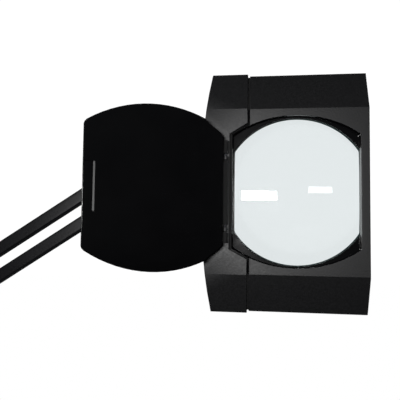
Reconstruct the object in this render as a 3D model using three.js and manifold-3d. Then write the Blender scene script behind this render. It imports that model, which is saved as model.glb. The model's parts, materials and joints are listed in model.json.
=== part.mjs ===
// A bench magnifying lamp: a lit rectangular lens head on a two-section balanced arm with a table clamp.
// Millimetres, +Z up. The origin is where the clamp's pad rests on the table top, under the arm's post.
import * as THREE from "three";
import { mergeVertices } from "three/addons/utils/BufferGeometryUtils.js";
import Module from "manifold-3d";

const wasm = await Module();
wasm.setup();

// Driving dimensions
const CLEARANCE = 0.3; // between pieces that touch
const ARM_LENGTH = 400; // pivot to pivot, both arms
const ARM_PITCH = 37; // between the two tubes' pivots
const LOWER_LEAN = THREE.MathUtils.degToRad(118); // from +X
const UPPER_RISE = THREE.MathUtils.degToRad(32.5); // from +X
const BASE_PIVOT_Z = 75;
const ELBOW_LOW_Z = 37.5; // the upper arm's lower pivot, over the lower arm's pivots
const TUBE = 16;
const TUBE_WALL = 1.5;
const TUBE_END = 8.5; // tube past its pivot
const BOLT_R = 2.5;
const BOLT_HOLE_R = 2.9;
const CHEEK_IN = 8.6; // half the gap between a bracket's cheeks
const CHEEK_OUT = 11.1;

const LENS_R = 95; // a 190 mm lens cut to 157 mm
const LENS_HALF_WIDTH = 78.5;
const LENS_FRONT_CURVE = 450;
const LENS_BACK_CURVE = 285;
const LENS_EDGE = 3;
const LENS_EDGE_Y = 15.5; // front of the lens's edge, behind the head's face

const HEAD_RIGHT = 86.4;
const HEAD_LEFT = -104.4; // at the corners of the bowed left end
const HEAD_BOW = 11;
const HEAD_HALF = 150;
const FACE_HALF = 102.3; // half height of the flat front face
const FOLD_Y = 18; // where the front slopes end
const SIDE_END_Y = 30;
const HEAD_DEPTH = 46;
const BACK_HALF = 128;
const WALL = 3.9;
const SPLIT_Y = 24; // front shell to back shell
const CAP_PROUD = 2;
const SLEEVE_IN = 1.4; // the sleeve that carries the end cap, under the shells' surface
const GROOVE = 1.2; // half the gap along the seam

const RECESS_R = 135.5;
const RECESS_HALF = 94;
const RECESS_LEFT = -78.4;
const RECESS_RIGHT = 76;
const RECESS_FLOOR = 8.8;
const FLOOR_BACK = 11;
const APERTURE_R = 92.3;
const APERTURE_HALF = 76.3;

const HINGE_X = -86.7; // the cover's hinge line
const HINGE_Y = -5.6;
const HINGE_Z = [45, -43];
const COVER_WIDTH = 173;
const COVER_HALF = 96.7;
const COVER_R = 150;
const COVER_FRONT = -3.7; // the closed cover's two faces
const COVER_BACK = -0.7;
const COVER_OPEN = THREE.MathUtils.degToRad(150);

// The lens centre in the head's front plane, from the upper arm's lower pivot on the wrist
const HEAD_FROM_WRIST = [200, -25, -9.6];
const SWIVEL_X = 28.4; // the head's vertical swivel, from the same pivot
const KNUCKLE_X = 50.4; // the tilt bolt
const KNUCKLE_Z = -9.6;

// Solids
function solid(geometry) {
  const bare = geometry.index ? geometry.toNonIndexed() : geometry.clone();
  bare.deleteAttribute("normal");
  bare.deleteAttribute("uv");
  const merged = mergeVertices(bare, 1e-4);
  const triVerts = new Uint32Array(merged.index.array);
  const vertProperties = new Float32Array(merged.attributes.position.array);
  return new wasm.Manifold(new wasm.Mesh({ numProp: 3, vertProperties, triVerts }));
}

function geometryOf(body) {
  const mesh = body.getMesh();
  const geometry = new THREE.BufferGeometry();
  geometry.setAttribute("position", new THREE.BufferAttribute(mesh.vertProperties, 3));
  geometry.setIndex(new THREE.BufferAttribute(mesh.triVerts, 1));
  const flat = geometry.toNonIndexed();
  flat.computeVertexNormals();
  return flat;
}

const joined = (...bodies) => bodies.reduce((whole, body) => whole.add(body));
const cut = (body, ...tools) => tools.reduce((left, tool) => left.subtract(tool), body);

function box(x, y, z) {
  const geometry = new THREE.BoxGeometry(x[1] - x[0], y[1] - y[0], z[1] - z[0]);
  geometry.translate((x[0] + x[1]) / 2, (y[0] + y[1]) / 2, (z[0] + z[1]) / 2);
  return solid(geometry);
}

// A prism along an axis from an outline in the other two: X takes (y, z), Y takes (x, z), Z takes (x, y).
const PRISM_BASIS = {
  X: [[0, 1, 0], [0, 0, 1], [1, 0, 0], 1],
  Y: [[1, 0, 0], [0, 0, 1], [0, -1, 0], -1],
  Z: [[1, 0, 0], [0, 1, 0], [0, 0, 1], 1],
};

function prism(axis, outline, from, to) {
  const [across, up, along, way] = PRISM_BASIS[axis];
  const shape = new THREE.Shape(outline.map(([a, b]) => new THREE.Vector2(a, b)));
  const geometry = new THREE.ExtrudeGeometry(shape, { depth: to - from, bevelEnabled: false });
  geometry.translate(0, 0, way > 0 ? from : -to);
  const basis = new THREE.Matrix4().makeBasis(
    new THREE.Vector3(...across),
    new THREE.Vector3(...up),
    new THREE.Vector3(...along),
  );
  return solid(geometry.applyMatrix4(basis));
}

// A turned piece. The profile holds [radius, place along the axis], low end first.
function turned(axis, profile, segments = 20) {
  const geometry = new THREE.LatheGeometry(profile.map(([r, s]) => new THREE.Vector2(r, s)), segments);
  if (axis === "Z") geometry.rotateX(Math.PI / 2);
  if (axis === "X") geometry.rotateZ(-Math.PI / 2);
  return solid(geometry);
}

function rod(axis, radius, from, to, segments = 16) {
  return turned(axis, [[0, from], [radius, from], [radius, to], [0, to]], segments);
}

function ring(axis, inner, outer, from, to, segments = 20) {
  return cut(rod(axis, outer, from, to, segments), rod(axis, inner, from - 1, to + 1, segments));
}

// An outline moved outwards by a distance, each side parallel to itself
function offset(outline, distance) {
  return outline.map((point, i) => {
    const before = outline.at(i - 1);
    const after = outline[(i + 1) % outline.length];
    const a = new THREE.Vector2(point[0] - before[0], point[1] - before[1]).normalize();
    const b = new THREE.Vector2(after[0] - point[0], after[1] - point[1]).normalize();
    const bisector = new THREE.Vector2(a.y + b.y, -a.x - b.x).normalize();
    const reach = distance / (bisector.x * a.y - bisector.y * a.x);
    return [point[0] + bisector.x * reach, point[1] + bisector.y * reach];
  });
}

function arc(cx, cy, radius, from, to, steps) {
  return Array.from({ length: steps + 1 }, (_, i) => {
    const angle = from + ((to - from) * i) / steps;
    return [cx + radius * Math.cos(angle), cy + radius * Math.sin(angle)];
  });
}

// An outline with flat left and right sides, and arcs of one radius along its top and bottom
function doubleD(left, right, half, radius, steps = 12) {
  const middle = (left + right) / 2;
  const reach = Math.asin((right - left) / 2 / radius);
  const top = arc(middle, half - radius, radius, Math.PI / 2 - reach, Math.PI / 2 + reach, steps);
  const bottom = arc(middle, radius - half, radius, 1.5 * Math.PI - reach, 1.5 * Math.PI + reach, steps);
  return [...top, ...bottom];
}

// The outline round a row of equal circles, whose centres run anticlockwise
function strap(centres, radius, steps = 6) {
  return centres.flatMap((centre, i) => {
    const before = centres.at(i - 1);
    const after = centres[(i + 1) % centres.length];
    const start = Math.atan2(centre[1] - before[1], centre[0] - before[0]) - Math.PI / 2;
    let end = Math.atan2(after[1] - centre[1], after[0] - centre[0]) - Math.PI / 2;
    while (end < start) end += 2 * Math.PI;
    return arc(centre[0], centre[1], radius, start, end, steps);
  });
}

function knobOutline(radius, lobes, depth) {
  return Array.from({ length: lobes * 6 }, (_, i) => {
    const angle = (i / (lobes * 6)) * 2 * Math.PI;
    const r = radius - depth / 2 + (depth / 2) * Math.cos(lobes * angle);
    return [r * Math.cos(angle), r * Math.sin(angle)];
  });
}

// Materials
function finish(colour, roughness, metalness = 0) {
  return new THREE.MeshStandardMaterial({ color: colour, roughness, metalness });
}

const SHELL = [0x38383b, 0.62];
const SATIN = [0x101013, 0.38];
const COATED = [0x28282c, 0.5, 0.3];
const STEEL = [0xb9bbbd, 0.32, 1];
const NYLON = [0xd8d8d2, 0.5];
const KNOB = [0x161618, 0.55];
const GLASS = [0xe0eaec, 0.03];
const BOARD = [0xe9ece8, 0.45];
const RUBBER = [0x1a1a1b, 0.85];

const lamp = new THREE.Group();

function place(group, name, body, look) {
  const mesh = new THREE.Mesh(geometryOf(body), finish(...look));
  mesh.name = name;
  group.add(mesh);
}

function groupAt(x, y, z) {
  const group = new THREE.Group();
  group.position.set(x, y, z);
  lamp.add(group);
  return group;
}

// Fasteners
function pivotBolt() {
  const head = CHEEK_OUT + CLEARANCE;
  return turned("Y", [
    [0, -head - 3.2], [4.6, -head - 3.2], [5.2, -head - 2.2], [5.2, -head], [BOLT_R, -head],
    [BOLT_R, head], [4.8, head], [4.8, head + 3.4], [3.2, head + 4.6], [0, head + 4.6],
  ], 12);
}

function knob(radius, thickness, bore) {
  const grip = prism("Y", knobOutline(radius, 7, 2.4), -thickness, -4);
  const boss = rod("Y", radius * 0.62, -5, 0);
  return cut(joined(grip, boss), rod("Y", bore, -thickness + 4, 1, 16));
}

function caseScrew(from, to) {
  return turned("Y", [
    [0, from], [1.6, from], [1.6, to - 2.6], [3.4, to - 2.6], [3.4, to - 1], [2.2, to], [0, to],
  ], 12);
}

// Table clamp
const JAW_HALF_WIDTH = 16;
const JAW_FRONT = -24;
const SPINE_IN = 30;
const SPINE_OUT = 44;
const PAD_THICKNESS = 2;
const TOP_JAW_Z = 14;
const LOW_JAW_Z = [-92, -78];
const SOCKET_Z = 46;
const POST_R = 8;
const SCREW_R = 6;
const SCREW_PAD_Z = -43; // top of the swivel pad
const HANDLE_Z = -154;

function clampFrame() {
  const under = PAD_THICKNESS + CLEARANCE;
  const side = [
    [JAW_FRONT, under], [SPINE_IN, under], [SPINE_IN, LOW_JAW_Z[1]], [-16, LOW_JAW_Z[1]],
    [-16, LOW_JAW_Z[0]], [SPINE_OUT - 8, LOW_JAW_Z[0]], [SPINE_OUT, LOW_JAW_Z[0] + 8],
    [SPINE_OUT, TOP_JAW_Z - 5], [SPINE_OUT - 5, TOP_JAW_Z], [JAW_FRONT + 3, TOP_JAW_Z],
    [JAW_FRONT, TOP_JAW_Z - 3],
  ];
  const cast = joined(
    prism("X", side, -JAW_HALF_WIDTH, JAW_HALF_WIDTH),
    rod("Z", 15, TOP_JAW_Z - 1, SOCKET_Z),
    rod("Z", 11, LOW_JAW_Z[0] - 6, LOW_JAW_Z[1]),
  );
  const socket = rod("Z", 11, 6, SOCKET_Z + 1);
  const thread = rod("Z", SCREW_R + 0.4, LOW_JAW_Z[0] - 8, LOW_JAW_Z[1] + 1);
  return cut(cast, socket, thread);
}

function postBush() {
  const sleeve = rod("Z", 10.7, 10, SOCKET_Z + 1);
  const flange = rod("Z", 14.4, SOCKET_Z + CLEARANCE, SOCKET_Z + 2.3);
  return cut(joined(sleeve, flange), rod("Z", POST_R + CLEARANCE, 9, SOCKET_Z + 4));
}

function clampHandle() {
  return turned("X", [
    [0, -42], [3.5, -42], [5, -40], [5, -36], [3, -34], [3, 34], [5, 36], [5, 40], [3.5, 42], [0, 42],
  ], 12);
}

function swivelPad() {
  const top = SCREW_PAD_Z;
  const plate = turned("Z", [
    [0, top - 11], [9.5, top - 11], [10.5, top - 5], [17, top - 4], [17, top], [0, top],
  ]);
  return cut(plate, rod("Z", SCREW_R + CLEARANCE, top - 12, top - 6));
}

function clampScrew() {
  const turnedBar = turned("Z", [
    [0, HANDLE_Z - 9], [7, HANDLE_Z - 9], [9, HANDLE_Z - 7], [9, HANDLE_Z + 7], [SCREW_R, HANDLE_Z + 9],
    [SCREW_R, SCREW_PAD_Z - 8.5], [4.5, SCREW_PAD_Z - 6.3], [0, SCREW_PAD_Z - 6.3],
  ]);
  return cut(turnedBar, rod("X", 3.4, -12, 12, 12).translate([0, 0, HANDLE_Z]));
}

const clamp = groupAt(0, 0, 0);
place(clamp, "clamp_frame", clampFrame(), COATED);
place(clamp, "clamp_top_pad", box([-15, 15], [-23, 28], [0, PAD_THICKNESS]), RUBBER);
place(clamp, "post_bush", postBush(), NYLON);
place(clamp, "clamp_screw", clampScrew(), STEEL);
place(clamp, "clamp_handle", clampHandle().translate([0, 0, HANDLE_Z]), STEEL);
place(clamp, "clamp_swivel_pad", swivelPad(), STEEL);

// Base: a post that turns in the clamp, and the bracket of the lower arm
const WEB_Z = [53.3, 56.3];
const COLLAR_TOP = 53;
const HALF_PITCH = ARM_PITCH / 2;

function basePost() {
  const collar = SOCKET_Z + 2.6;
  return turned("Z", [
    [0, 8], [POST_R - 1, 8], [POST_R, 9], [POST_R, collar], [13.5, collar], [13.5, COLLAR_TOP - 1],
    [12.5, COLLAR_TOP], [0, COLLAR_TOP],
  ]);
}

function baseBracket() {
  const corner = 10;
  const foot = WEB_Z[0];
  const top = BASE_PIVOT_Z + 13;
  const side = [
    [-32, foot], [32, foot], ...arc(32 - corner, top - corner, corner, 0, Math.PI / 2, 5),
    ...arc(corner - 32, top - corner, corner, Math.PI / 2, Math.PI, 5),
  ];
  const block = prism("Y", side, -CHEEK_OUT, CHEEK_OUT);
  const gap = box([-40, 40], [-CHEEK_IN, CHEEK_IN], [WEB_Z[1], 100]);
  const holes = [-HALF_PITCH, HALF_PITCH].map((x) =>
    rod("Y", BOLT_HOLE_R, -20, 20, 16).translate([x, 0, BASE_PIVOT_Z]));
  return cut(block, gap, ...holes);
}

function dcInlet() {
  const housing = box([-46, -32.3], [-6.5, 6.5], [55, 68]);
  const barrel = ring("X", 0.9, 3.3, -50, -36, 16).translate([0, 0, 61.5]);
  return cut(housing, barrel);
}

const base = groupAt(0, 0, 0);
place(base, "base_post", basePost(), STEEL);
place(base, "base_bracket", baseBracket(), COATED);
place(base, "dc_inlet", dcInlet(), SATIN);
[["base_bolt_left", -HALF_PITCH], ["base_bolt_right", HALF_PITCH]].forEach(([name, x]) =>
  place(base, name, pivotBolt().translate([x, 0, BASE_PIVOT_Z]), STEEL));

// Arms: square steel tubes in pairs, with a spring in one tube of each pair
const SPRING_START = 20; // from the elbow pivot
const SPRING_END = 118;
const SPRING_ANCHOR = 124;
const SPRING_TURNS = 11;

class Coil extends THREE.Curve {
  getPoint(t) {
    const angle = t * SPRING_TURNS * 2 * Math.PI;
    const x = SPRING_START + t * (SPRING_END - SPRING_START);
    return new THREE.Vector3(x, 4.4 * Math.cos(angle), 4.4 * Math.sin(angle));
  }
}

function spring() {
  const wire = new THREE.Shape(arc(0, 0, 0.9, 0, 1.5 * Math.PI, 3).map(([a, b]) => new THREE.Vector2(a, b)));
  const geometry = new THREE.ExtrudeGeometry(wire, {
    steps: SPRING_TURNS * 8, extrudePath: new Coil(), bevelEnabled: false,
  });
  return solid(geometry);
}

// A tube lies along +X from its elbow pivot.
function armTube(hasAnchor) {
  const half = TUBE / 2;
  const bore = half - TUBE_WALL;
  const ends = [-TUBE_END, ARM_LENGTH + TUBE_END];
  const tube = cut(
    box(ends, [-half, half], [-half, half]),
    box([-20, ARM_LENGTH + 20], [-bore, bore], [-bore, bore]),
    rod("Y", BOLT_HOLE_R, -20, 20, 16),
    rod("Y", BOLT_HOLE_R, -20, 20, 16).translate([ARM_LENGTH, 0, 0]),
  );
  return hasAnchor ? cut(tube, rod("Y", 2.1, -20, 20, 12).translate([SPRING_ANCHOR, 0, 0])) : tube;
}

function springAnchor() {
  return rod("Y", 1.8, -TUBE / 2 - 0.8, TUBE / 2 + 0.8, 12).translate([SPRING_ANCHOR, 0, 0]);
}

function armTubeGroup(x, z, angle) {
  const group = groupAt(x, 0, z);
  group.rotation.y = -angle;
  return group;
}

const elbowX = ARM_LENGTH * Math.cos(LOWER_LEAN);
const elbowZ = BASE_PIVOT_Z + ARM_LENGTH * Math.sin(LOWER_LEAN);
const wristX = elbowX + ARM_LENGTH * Math.cos(UPPER_RISE);
const wristZ = elbowZ + ELBOW_LOW_Z + ARM_LENGTH * Math.sin(UPPER_RISE);

[["left", -HALF_PITCH, true], ["right", HALF_PITCH, false]].forEach(([side, x, sprung]) => {
  const arm = armTubeGroup(elbowX + x, elbowZ, LOWER_LEAN - Math.PI);
  place(arm, `lower_tube_${side}`, armTube(sprung), COATED);
  if (!sprung) return;
  place(arm, "lower_spring", spring(), STEEL);
  place(arm, "lower_spring_anchor", springAnchor(), STEEL);
});

[["bottom", 0, true], ["top", ARM_PITCH, false]].forEach(([side, z, sprung]) => {
  const arm = armTubeGroup(elbowX, elbowZ + ELBOW_LOW_Z + z, UPPER_RISE);
  place(arm, `upper_tube_${side}`, armTube(sprung), COATED);
  if (!sprung) return;
  place(arm, "upper_spring", spring(), STEEL);
  place(arm, "upper_spring_anchor", springAnchor(), STEEL);
});

// Elbow: two cheeks, held apart by a spacer, with two pivots for each arm
const SPACER_Z = 16;
const ELBOW_PIVOTS = {
  elbow_bolt_left: [-HALF_PITCH, 0],
  elbow_bolt_right: [HALF_PITCH, 0],
  elbow_bolt_middle: [0, ELBOW_LOW_Z],
  elbow_bolt_top: [0, ELBOW_LOW_Z + ARM_PITCH],
};

function elbowCheek(from, to) {
  const outline = strap([[-HALF_PITCH, 0], [HALF_PITCH, 0], [0, ELBOW_LOW_Z + ARM_PITCH]], 13);
  const plate = prism("Y", outline, from, to);
  const holes = Object.values(ELBOW_PIVOTS).map(([x, z]) =>
    rod("Y", BOLT_HOLE_R, -20, 20, 16).translate([x, 0, z]));
  return cut(plate, ...holes, rod("Y", 3.3, -20, 20, 16).translate([0, 0, SPACER_Z]));
}

function elbowSpacer() {
  const inside = CHEEK_IN - CLEARANCE;
  const outside = CHEEK_OUT + 1.5;
  return turned("Y", [
    [0, -outside], [3, -outside], [3, -inside], [6, -inside],
    [6, inside], [3, inside], [3, outside], [0, outside],
  ], 16).translate([0, 0, SPACER_Z]);
}

// The middle bolt is longer than the others, and carries the tightening knob in place of a nut.
function elbowKnobBolt() {
  const head = CHEEK_OUT + CLEARANCE;
  return turned("Y", [
    [0, -head - 15], [BOLT_R, -head - 15], [BOLT_R, head], [5.2, head], [5.2, head + 2.2],
    [4.6, head + 3.2], [0, head + 3.2],
  ], 12);
}

const elbow = groupAt(elbowX, 0, elbowZ);
place(elbow, "elbow_cheek_front", elbowCheek(-CHEEK_OUT, -CHEEK_IN), COATED);
place(elbow, "elbow_cheek_back", elbowCheek(CHEEK_IN, CHEEK_OUT), COATED);
place(elbow, "elbow_spacer", elbowSpacer(), STEEL);
Object.entries(ELBOW_PIVOTS).forEach(([name, [x, z]]) => {
  const bolt = name === "elbow_bolt_middle" ? elbowKnobBolt() : pivotBolt();
  place(elbow, name, bolt.translate([x, 0, z]), STEEL);
});
const elbowKnob = knob(14, 20, BOLT_R + 0.4).translate([0, -CHEEK_OUT - CLEARANCE, ELBOW_LOW_Z]);
place(elbow, "elbow_knob", elbowKnob, KNOB);

// Wrist: a channel at the arm's end that stays level, with the barrel of the head's swivel
const BARREL_Z = [7.5, 47.5];

function headBracket() {
  const ends = [-14, ARM_PITCH + 14];
  const channel = cut(
    box([-11, 15], [-CHEEK_OUT, CHEEK_OUT], ends),
    box([-20, 12.5], [-CHEEK_IN, CHEEK_IN], [ends[0] - 1, ends[1] + 1]),
    ...[0, ARM_PITCH].map((z) => rod("Y", BOLT_HOLE_R, -20, 20, 16).translate([0, 0, z])),
  );
  const barrel = rod("Z", 9, ...BARREL_Z).translate([SWIVEL_X, 0, 0]);
  const rib = box([14, SWIVEL_X - 5], [-5, 5], [BARREL_Z[0] + 2, BARREL_Z[1] - 2]);
  const bore = rod("Z", 5.4, 0, 60).translate([SWIVEL_X, 0, 0]);
  return cut(joined(channel, rib, barrel), bore);
}

const wrist = groupAt(wristX, 0, wristZ);
place(wrist, "head_bracket", headBracket(), COATED);
place(wrist, "wrist_bolt_bottom", pivotBolt(), STEEL);
place(wrist, "wrist_bolt_top", pivotBolt().translate([0, 0, ARM_PITCH]), STEEL);

// Knuckle: it hangs from the swivel pin and tilts the head about one bolt
const FORK_TOP = BARREL_Z[0] - KNUCKLE_Z - 2;
const CHEEK_R = 11;
const TONGUE = 6;
const PIN_X = SWIVEL_X - KNUCKLE_X;

function swivelPin() {
  const top = BARREL_Z[1] + CLEARANCE - KNUCKLE_Z;
  const foot = FORK_TOP - 9.5;
  return turned("Z", [
    [0, foot], [5, foot], [5, top], [8.5, top], [8.5, top + 2], [7.5, top + 3], [0, top + 3],
  ]).translate([PIN_X, 0, 0]);
}

function knuckleFork() {
  const body = joined(
    rod("Z", CHEEK_R, -14, FORK_TOP, 24).translate([PIN_X, 0, 0]),
    box([PIN_X, -12.4], [-CHEEK_R, CHEEK_R], [-14, FORK_TOP]),
    box([-13, 0], [-CHEEK_R, CHEEK_R], [-CHEEK_R, CHEEK_R]),
    rod("Y", CHEEK_R, -CHEEK_R, CHEEK_R),
  );
  return cut(
    body,
    box([-12, 14], [-TONGUE - 0.4, TONGUE + 0.4], [-20, 20]),
    rod("Z", 5.3, FORK_TOP - 10, FORK_TOP + 1).translate([PIN_X, 0, 0]),
    rod("Y", 3.4, -20, 20, 16),
  );
}

function tiltBolt() {
  const face = CHEEK_R + CLEARANCE;
  return turned("Y", [
    [0, -face - 13], [3, -face - 13], [3, face], [6, face], [6, face + 3], [5, face + 4], [0, face + 4],
  ], 16);
}

const SPIGOT_R = 7.5;
const SHOULDER_END = 29.6;
const SPIGOT_END = 56;

function neck() {
  const tongue = joined(
    rod("Y", CHEEK_R, -TONGUE, TONGUE),
    box([0, 14.5], [-TONGUE, TONGUE], [-8, 8]),
  );
  const stem = turned("X", [
    [0, 13.4], [9.5, 13.4], [10.5, 14.4], [10.5, SHOULDER_END], [SPIGOT_R, SHOULDER_END],
    [SPIGOT_R, SPIGOT_END - 1], [SPIGOT_R - 1, SPIGOT_END], [0, SPIGOT_END],
  ]);
  return cut(joined(tongue, stem), rod("Y", 3.4, -20, 20, 16));
}

const knuckle = groupAt(wristX + KNUCKLE_X, 0, wristZ + KNUCKLE_Z);
const washer = ring("Z", 5.4, 9, FORK_TOP + CLEARANCE, FORK_TOP + 2 - CLEARANCE).translate([PIN_X, 0, 0]);
place(knuckle, "swivel_pin", swivelPin(), STEEL);
place(knuckle, "swivel_washer", washer, NYLON);
place(knuckle, "knuckle_fork", knuckleFork(), COATED);
place(knuckle, "tilt_bolt", tiltBolt(), STEEL);
place(knuckle, "head_knob", knob(12, 18, 3.4).translate([0, -CHEEK_R - CLEARANCE, 0]), KNOB);
place(knuckle, "neck", neck(), COATED);
place(knuckle, "neck_nut", ring("X", SPIGOT_R + CLEARANCE, 12, 36.8, 41.8), STEEL);

// Head: x to the right, y to the back, z up, from the lens centre in the front plane
const HEAD_SECTION = [
  [0, -FACE_HALF], [FOLD_Y, -HEAD_HALF], [SIDE_END_Y, -HEAD_HALF], [HEAD_DEPTH, -BACK_HALF],
  [HEAD_DEPTH, BACK_HALF], [SIDE_END_Y, HEAD_HALF], [FOLD_Y, HEAD_HALF], [0, FACE_HALF],
];

function headBlock(grow) {
  const bow = Array.from({ length: 9 }, (_, i) => {
    const z = 168 - i * 42;
    return [HEAD_LEFT - HEAD_BOW * (1 - (z / HEAD_HALF) ** 2) - grow, z];
  });
  const front = prism("Y", [[HEAD_RIGHT + grow, -168], [HEAD_RIGHT + grow, 168], ...bow], -10, 60);
  return prism("X", offset(HEAD_SECTION, grow), -140, 100).intersect(front);
}

// The seam between the main shells and the end cap steps round the lens.
const SEAM = [
  [-59, -170], [120, -170], [120, 170], [-59, 170], [-59, 84], [-80.9, 70.5], [-80.9, -71], [-59, -83],
];
const SLEEVE = [
  [-72, -170], [120, -170], [120, 170], [-72, 170], [-72, 92], [-95, 76], [-95, -76], [-72, -92],
];

function shellBlank(from, to) {
  const face = headBlock(0).intersect(prism("Y", offset(SEAM, -GROOVE), -10, SPLIT_Y));
  const back = headBlock(0).intersect(box([-59 + GROOVE, 100], [SPLIT_Y, 60], [-170, 170]));
  const sleeve = headBlock(-SLEEVE_IN).intersect(prism("Y", SLEEVE, -10, 60));
  return joined(face, back, sleeve).intersect(box([-150, 100], [from, to], [-170, 170]));
}

const recess = (grow) => offset(doubleD(RECESS_LEFT, RECESS_RIGHT, RECESS_HALF, RECESS_R), grow);

// The lens outline: a circle with two flats
function lensOutline(radius, halfWidth) {
  const reach = Math.asin(halfWidth / radius);
  return [
    ...arc(0, 0, radius, Math.PI / 2 - reach, Math.PI / 2 + reach, 16),
    ...arc(0, 0, radius, 1.5 * Math.PI - reach, 1.5 * Math.PI + reach, 16),
  ];
}

const SCREW_PLACES = [[74, 84], [74, -84], [-52, 90], [-52, -90]];
const CAP_SCREW_PLACES = [[-88, 54], [-88, -54]];
const BOARD_POSTS = [[-40, 112], [60, 112], [-40, -112], [60, -112]];
const BOARD_Y = 26;
const CUP_END = 18.5; // back of the wall round the glass

function frontShell() {
  const hollow = headBlock(-WALL).intersect(box([-150, 100], [-5, 60], [-170, 170]));
  const cup = lensOutline(LENS_R + 4, LENS_HALF_WIDTH + 4);
  const posts = [
    ...SCREW_PLACES.map(([x, z]) => rod("Y", 4.5, 1, SPLIT_Y, 16).translate([x, 0, z])),
    ...BOARD_POSTS.map(([x, z]) => rod("Y", 3, 6, BOARD_Y - CLEARANCE, 12).translate([x, 0, z])),
  ];
  const shell = joined(
    cut(shellBlank(-5, SPLIT_Y), hollow),
    prism("Y", recess(2.4), SLEEVE_IN, FLOOR_BACK),
    prism("Y", cup, RECESS_FLOOR, CUP_END),
    ...posts,
  );
  return cut(
    shell,
    prism("Y", recess(0), -5, RECESS_FLOOR),
    prism("Y", lensOutline(APERTURE_R, APERTURE_HALF), -5, 40),
    prism("Y", lensOutline(LENS_R + 1.6, LENS_HALF_WIDTH + 1.6), FLOOR_BACK, 40),
    ...SCREW_PLACES.map(([x, z]) => rod("Y", 1.9, 12, 40, 12).translate([x, 0, z])),
  );
}

const WELL_Y = 25.5;
const WELL_WALL = 3.2; // outside of the wall, over the aperture
const WINDOW_X = [-48, 70];
const WINDOW_Z = [100, 122];

const well = (grow) => lensOutline(APERTURE_R + grow, APERTURE_HALF + grow);

function backShell() {
  const inner = well(0.7);
  const outer = well(WELL_WALL);
  const hollow = headBlock(-WALL).intersect(box([-150, 100], [-5, 60], [-170, 170]));
  const posts = SCREW_PLACES.map(([x, z]) => rod("Y", 5.6, SPLIT_Y + CLEARANCE, HEAD_DEPTH - 1, 16)
    .translate([x, 0, z]));
  const shell = joined(
    cut(shellBlank(SPLIT_Y + CLEARANCE, 60), hollow),
    prism("Y", outer, WELL_Y, HEAD_DEPTH - 1),
    ...posts,
  );
  const windows = [1, -1].map((side) =>
    box(WINDOW_X, [30, 60], [Math.min(side * WINDOW_Z[0], side * WINDOW_Z[1]),
      Math.max(side * WINDOW_Z[0], side * WINDOW_Z[1])]));
  return cut(
    shell,
    prism("Y", inner, 0, 60),
    ...windows,
    ...SCREW_PLACES.map(([x, z]) => rod("Y", 2.2, 0, 60, 12).translate([x, 0, z])),
    ...SCREW_PLACES.map(([x, z]) => rod("Y", 4, 35, 60, 16).translate([x, 0, z])),
    ...CAP_SCREW_PLACES.map(([x, z]) => rod("Y", 2, 30, 60, 12).translate([x, 0, z])),
  );
}

const BUTTON_X = -88;
const BUTTON_Y = 24;
const LUG_Z = [-7, -2]; // from each hinge's middle
const PIN_R = 1.2;
const PIN_HOLE_R = 1.6;
const BARREL_R = 3.2;

function endCap() {
  const cap = cut(
    headBlock(CAP_PROUD).intersect(box([-150, -59 - GROOVE], [-10, 60], [-170, 170])),
    headBlock(-SLEEVE_IN + 0.4).intersect(box([-150, 100], [-5, 60], [-170, 170])),
    prism("Y", offset(SEAM, GROOVE), -10, 20),
    prism("Y", well(WELL_WALL + CLEARANCE), 30, 60),
  );
  const lugs = HINGE_Z.map((z) => joined(
    rod("Z", BARREL_R, ...LUG_Z).translate([HINGE_X, HINGE_Y, z]),
    box([HINGE_X - BARREL_R, HINGE_X + 2.2], [HINGE_Y, -1], [z + LUG_Z[0], z + LUG_Z[1]]),
  ));
  return cut(
    joined(cap, ...lugs),
    ...HINGE_Z.map((z) => rod("Z", PIN_HOLE_R, -10, 10, 12).translate([HINGE_X, HINGE_Y, z])),
    rod("X", 11.3, -125, -105).translate([0, -HEAD_FROM_WRIST[1], 0]),
    box([BUTTON_X - 7.9, BUTTON_X + 7.9], [BUTTON_Y - 3.8, BUTTON_Y + 3.8], [140, 160]),
    ...CAP_SCREW_PLACES.map(([x, z]) => rod("Y", 2.2, 40, 60, 12).translate([x, 0, z])),
  );
}

function neckBush() {
  return cut(
    joined(
      rod("X", 11, -118, -113.4),
      rod("X", 15, -119.7, -117.8),
    ),
    rod("X", SPIGOT_R + CLEARANCE, -125, -105),
  ).translate([0, -HEAD_FROM_WRIST[1], 0]);
}

function lens() {
  const sag = (curve, r) => curve - Math.sqrt(curve ** 2 - r ** 2);
  const rings = 5;
  const front = Array.from({ length: rings + 1 }, (_, i) => {
    const r = (LENS_R * i) / rings;
    return [r, LENS_EDGE_Y - sag(LENS_FRONT_CURVE, LENS_R) + sag(LENS_FRONT_CURVE, r)];
  });
  const back = Array.from({ length: rings + 1 }, (_, i) => {
    const r = LENS_R - (LENS_R * i) / rings;
    return [r, LENS_EDGE_Y + LENS_EDGE + sag(LENS_BACK_CURVE, LENS_R) - sag(LENS_BACK_CURVE, r)];
  });
  const blank = turned("Y", [...front, ...back], 48);
  return blank.intersect(box([-LENS_HALF_WIDTH, LENS_HALF_WIDTH], [-10, 60], [-100, 100]));
}

function outlineRing(inner, outer, from, to) {
  return cut(prism("Y", lensOutline(...outer), from, to), prism("Y", lensOutline(...inner), 0, 60));
}

// A rubber band round the glass's edge
function lensGasket() {
  const inner = [LENS_R + CLEARANCE, LENS_HALF_WIDTH + CLEARANCE];
  const outer = [LENS_R + 1.3, LENS_HALF_WIDTH + 1.3];
  return outlineRing(inner, outer, FLOOR_BACK + CLEARANCE, CUP_END);
}

// It bears on the glass along the two arcs, and passes outside the flats.
function lensRetainer() {
  const inner = [LENS_R - 1.7, LENS_HALF_WIDTH + 0.7];
  const outer = [LENS_R + 3.8, LENS_HALF_WIDTH + 3.6];
  return outlineRing(inner, outer, CUP_END + 1, CUP_END + 4.4);
}

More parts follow.
